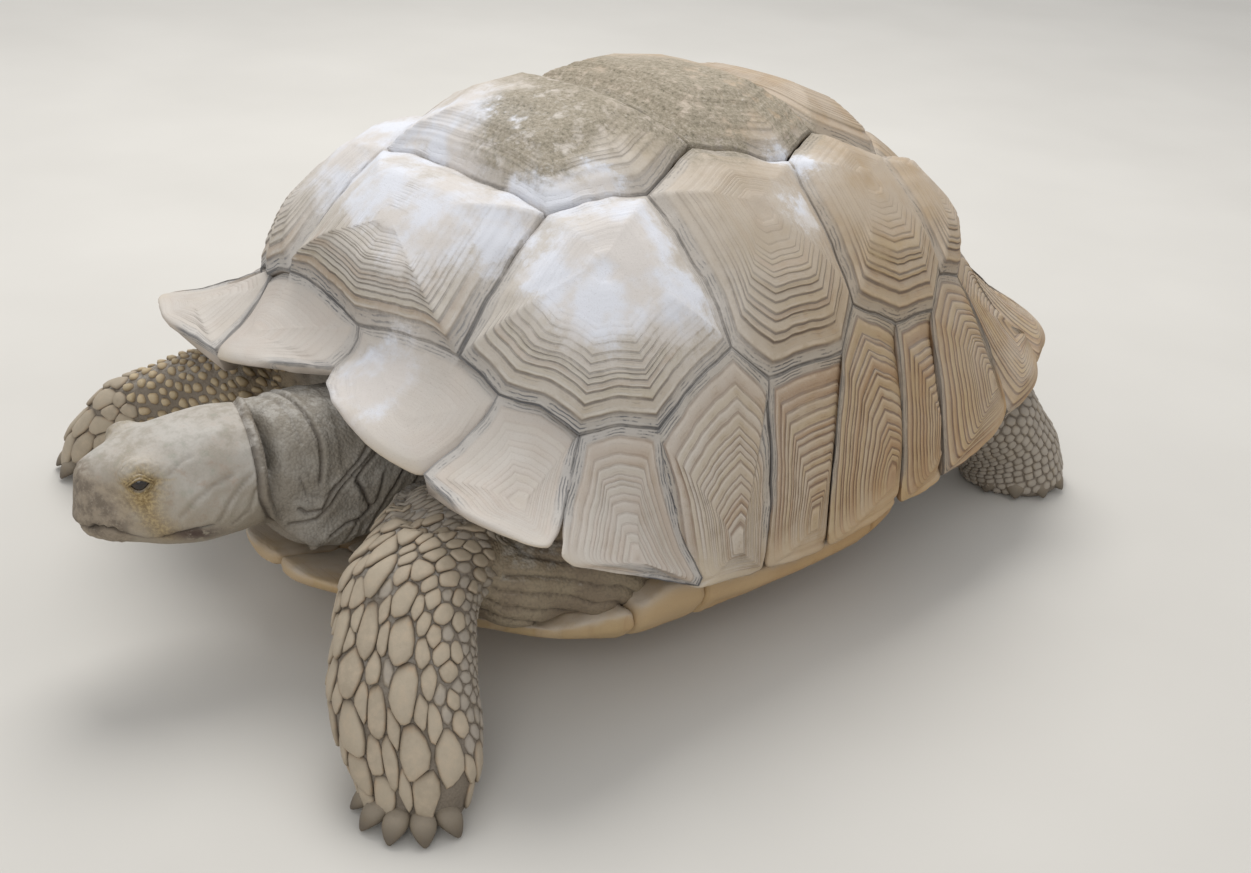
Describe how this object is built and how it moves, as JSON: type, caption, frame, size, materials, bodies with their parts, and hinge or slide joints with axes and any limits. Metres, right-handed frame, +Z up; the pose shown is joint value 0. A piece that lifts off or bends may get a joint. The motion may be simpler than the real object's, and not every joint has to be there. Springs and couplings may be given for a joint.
{
  "type": "spurred tortoise",
  "caption": "Life-size adult sulcata tortoise in mid-stride: domed shell of ridged horny plates with flared rim, scaly club legs, neck out and head level.",
  "frame": {"origin": "on the ground under the middle of the bounding box", "axes": "+Z up; the animal faces -Y; its own left side is +X"},
  "size_m": [0.6516, 0.8498, 0.3893],
  "materials": {
    "horn_back": "dry ridged horn, sandy tan with slate seams, dusted with chalk",
    "horn_edge": "dry ridged horn, pinkish cream to orange tan",
    "horn_belly": "smooth worn horn, ochre yellow",
    "skin": "dry scaly hide, grey beige with tan scales and claws",
    "eye": "wet, nearly black"
  },
  "bodies": {
    "root": {"vertebral_1": "horn_back", "vertebral_2": "horn_back", "vertebral_3": "horn_back", "vertebral_4": "horn_back", "vertebral_5": "horn_back", "costal_1_left": "horn_back", "costal_2_left": "horn_back", "costal_3_left": "horn_back", "costal_4_left": "horn_back", "marginal_1_left": "horn_edge", "marginal_2_left": "horn_edge", "marginal_3_left": "horn_edge", "marginal_4_left": "horn_edge", "marginal_5_left": "horn_edge", "marginal_6_left": "horn_edge", "marginal_7_left": "horn_edge", "marginal_8_left": "horn_edge", "marginal_9_left": "horn_edge", "marginal_10_left": "horn_edge", "marginal_11_left": "horn_edge", "gular_left": "horn_belly", "humeral_left": "horn_belly", "pectoral_left": "horn_belly", "abdominal_left": "horn_belly", "femoral_left": "horn_belly", "anal_left": "horn_belly", "costal_1_right": "horn_back", "costal_2_right": "horn_back", "costal_3_right": "horn_back", "costal_4_right": "horn_back", "marginal_1_right": "horn_edge", "marginal_2_right": "horn_edge", "marginal_3_right": "horn_edge", "marginal_4_right": "horn_edge", "marginal_5_right": "horn_edge", "marginal_6_right": "horn_edge", "marginal_7_right": "horn_edge", "marginal_8_right": "horn_edge", "marginal_9_right": "horn_edge", "marginal_10_right": "horn_edge", "marginal_11_right": "horn_edge", "gular_right": "horn_belly", "humeral_right": "horn_belly", "pectoral_right": "horn_belly", "abdominal_right": "horn_belly", "femoral_right": "horn_belly", "anal_right": "horn_belly", "supracaudal": "horn_edge", "trunk": "skin", "neck": "skin", "head": "skin", "eye_left": "eye", "eye_right": "eye", "tail": "skin", "foreleg_left": "skin", "foreleg_right": "skin", "hindleg_left": "skin", "hindleg_right": "skin"}
  },
  "joints": []
}
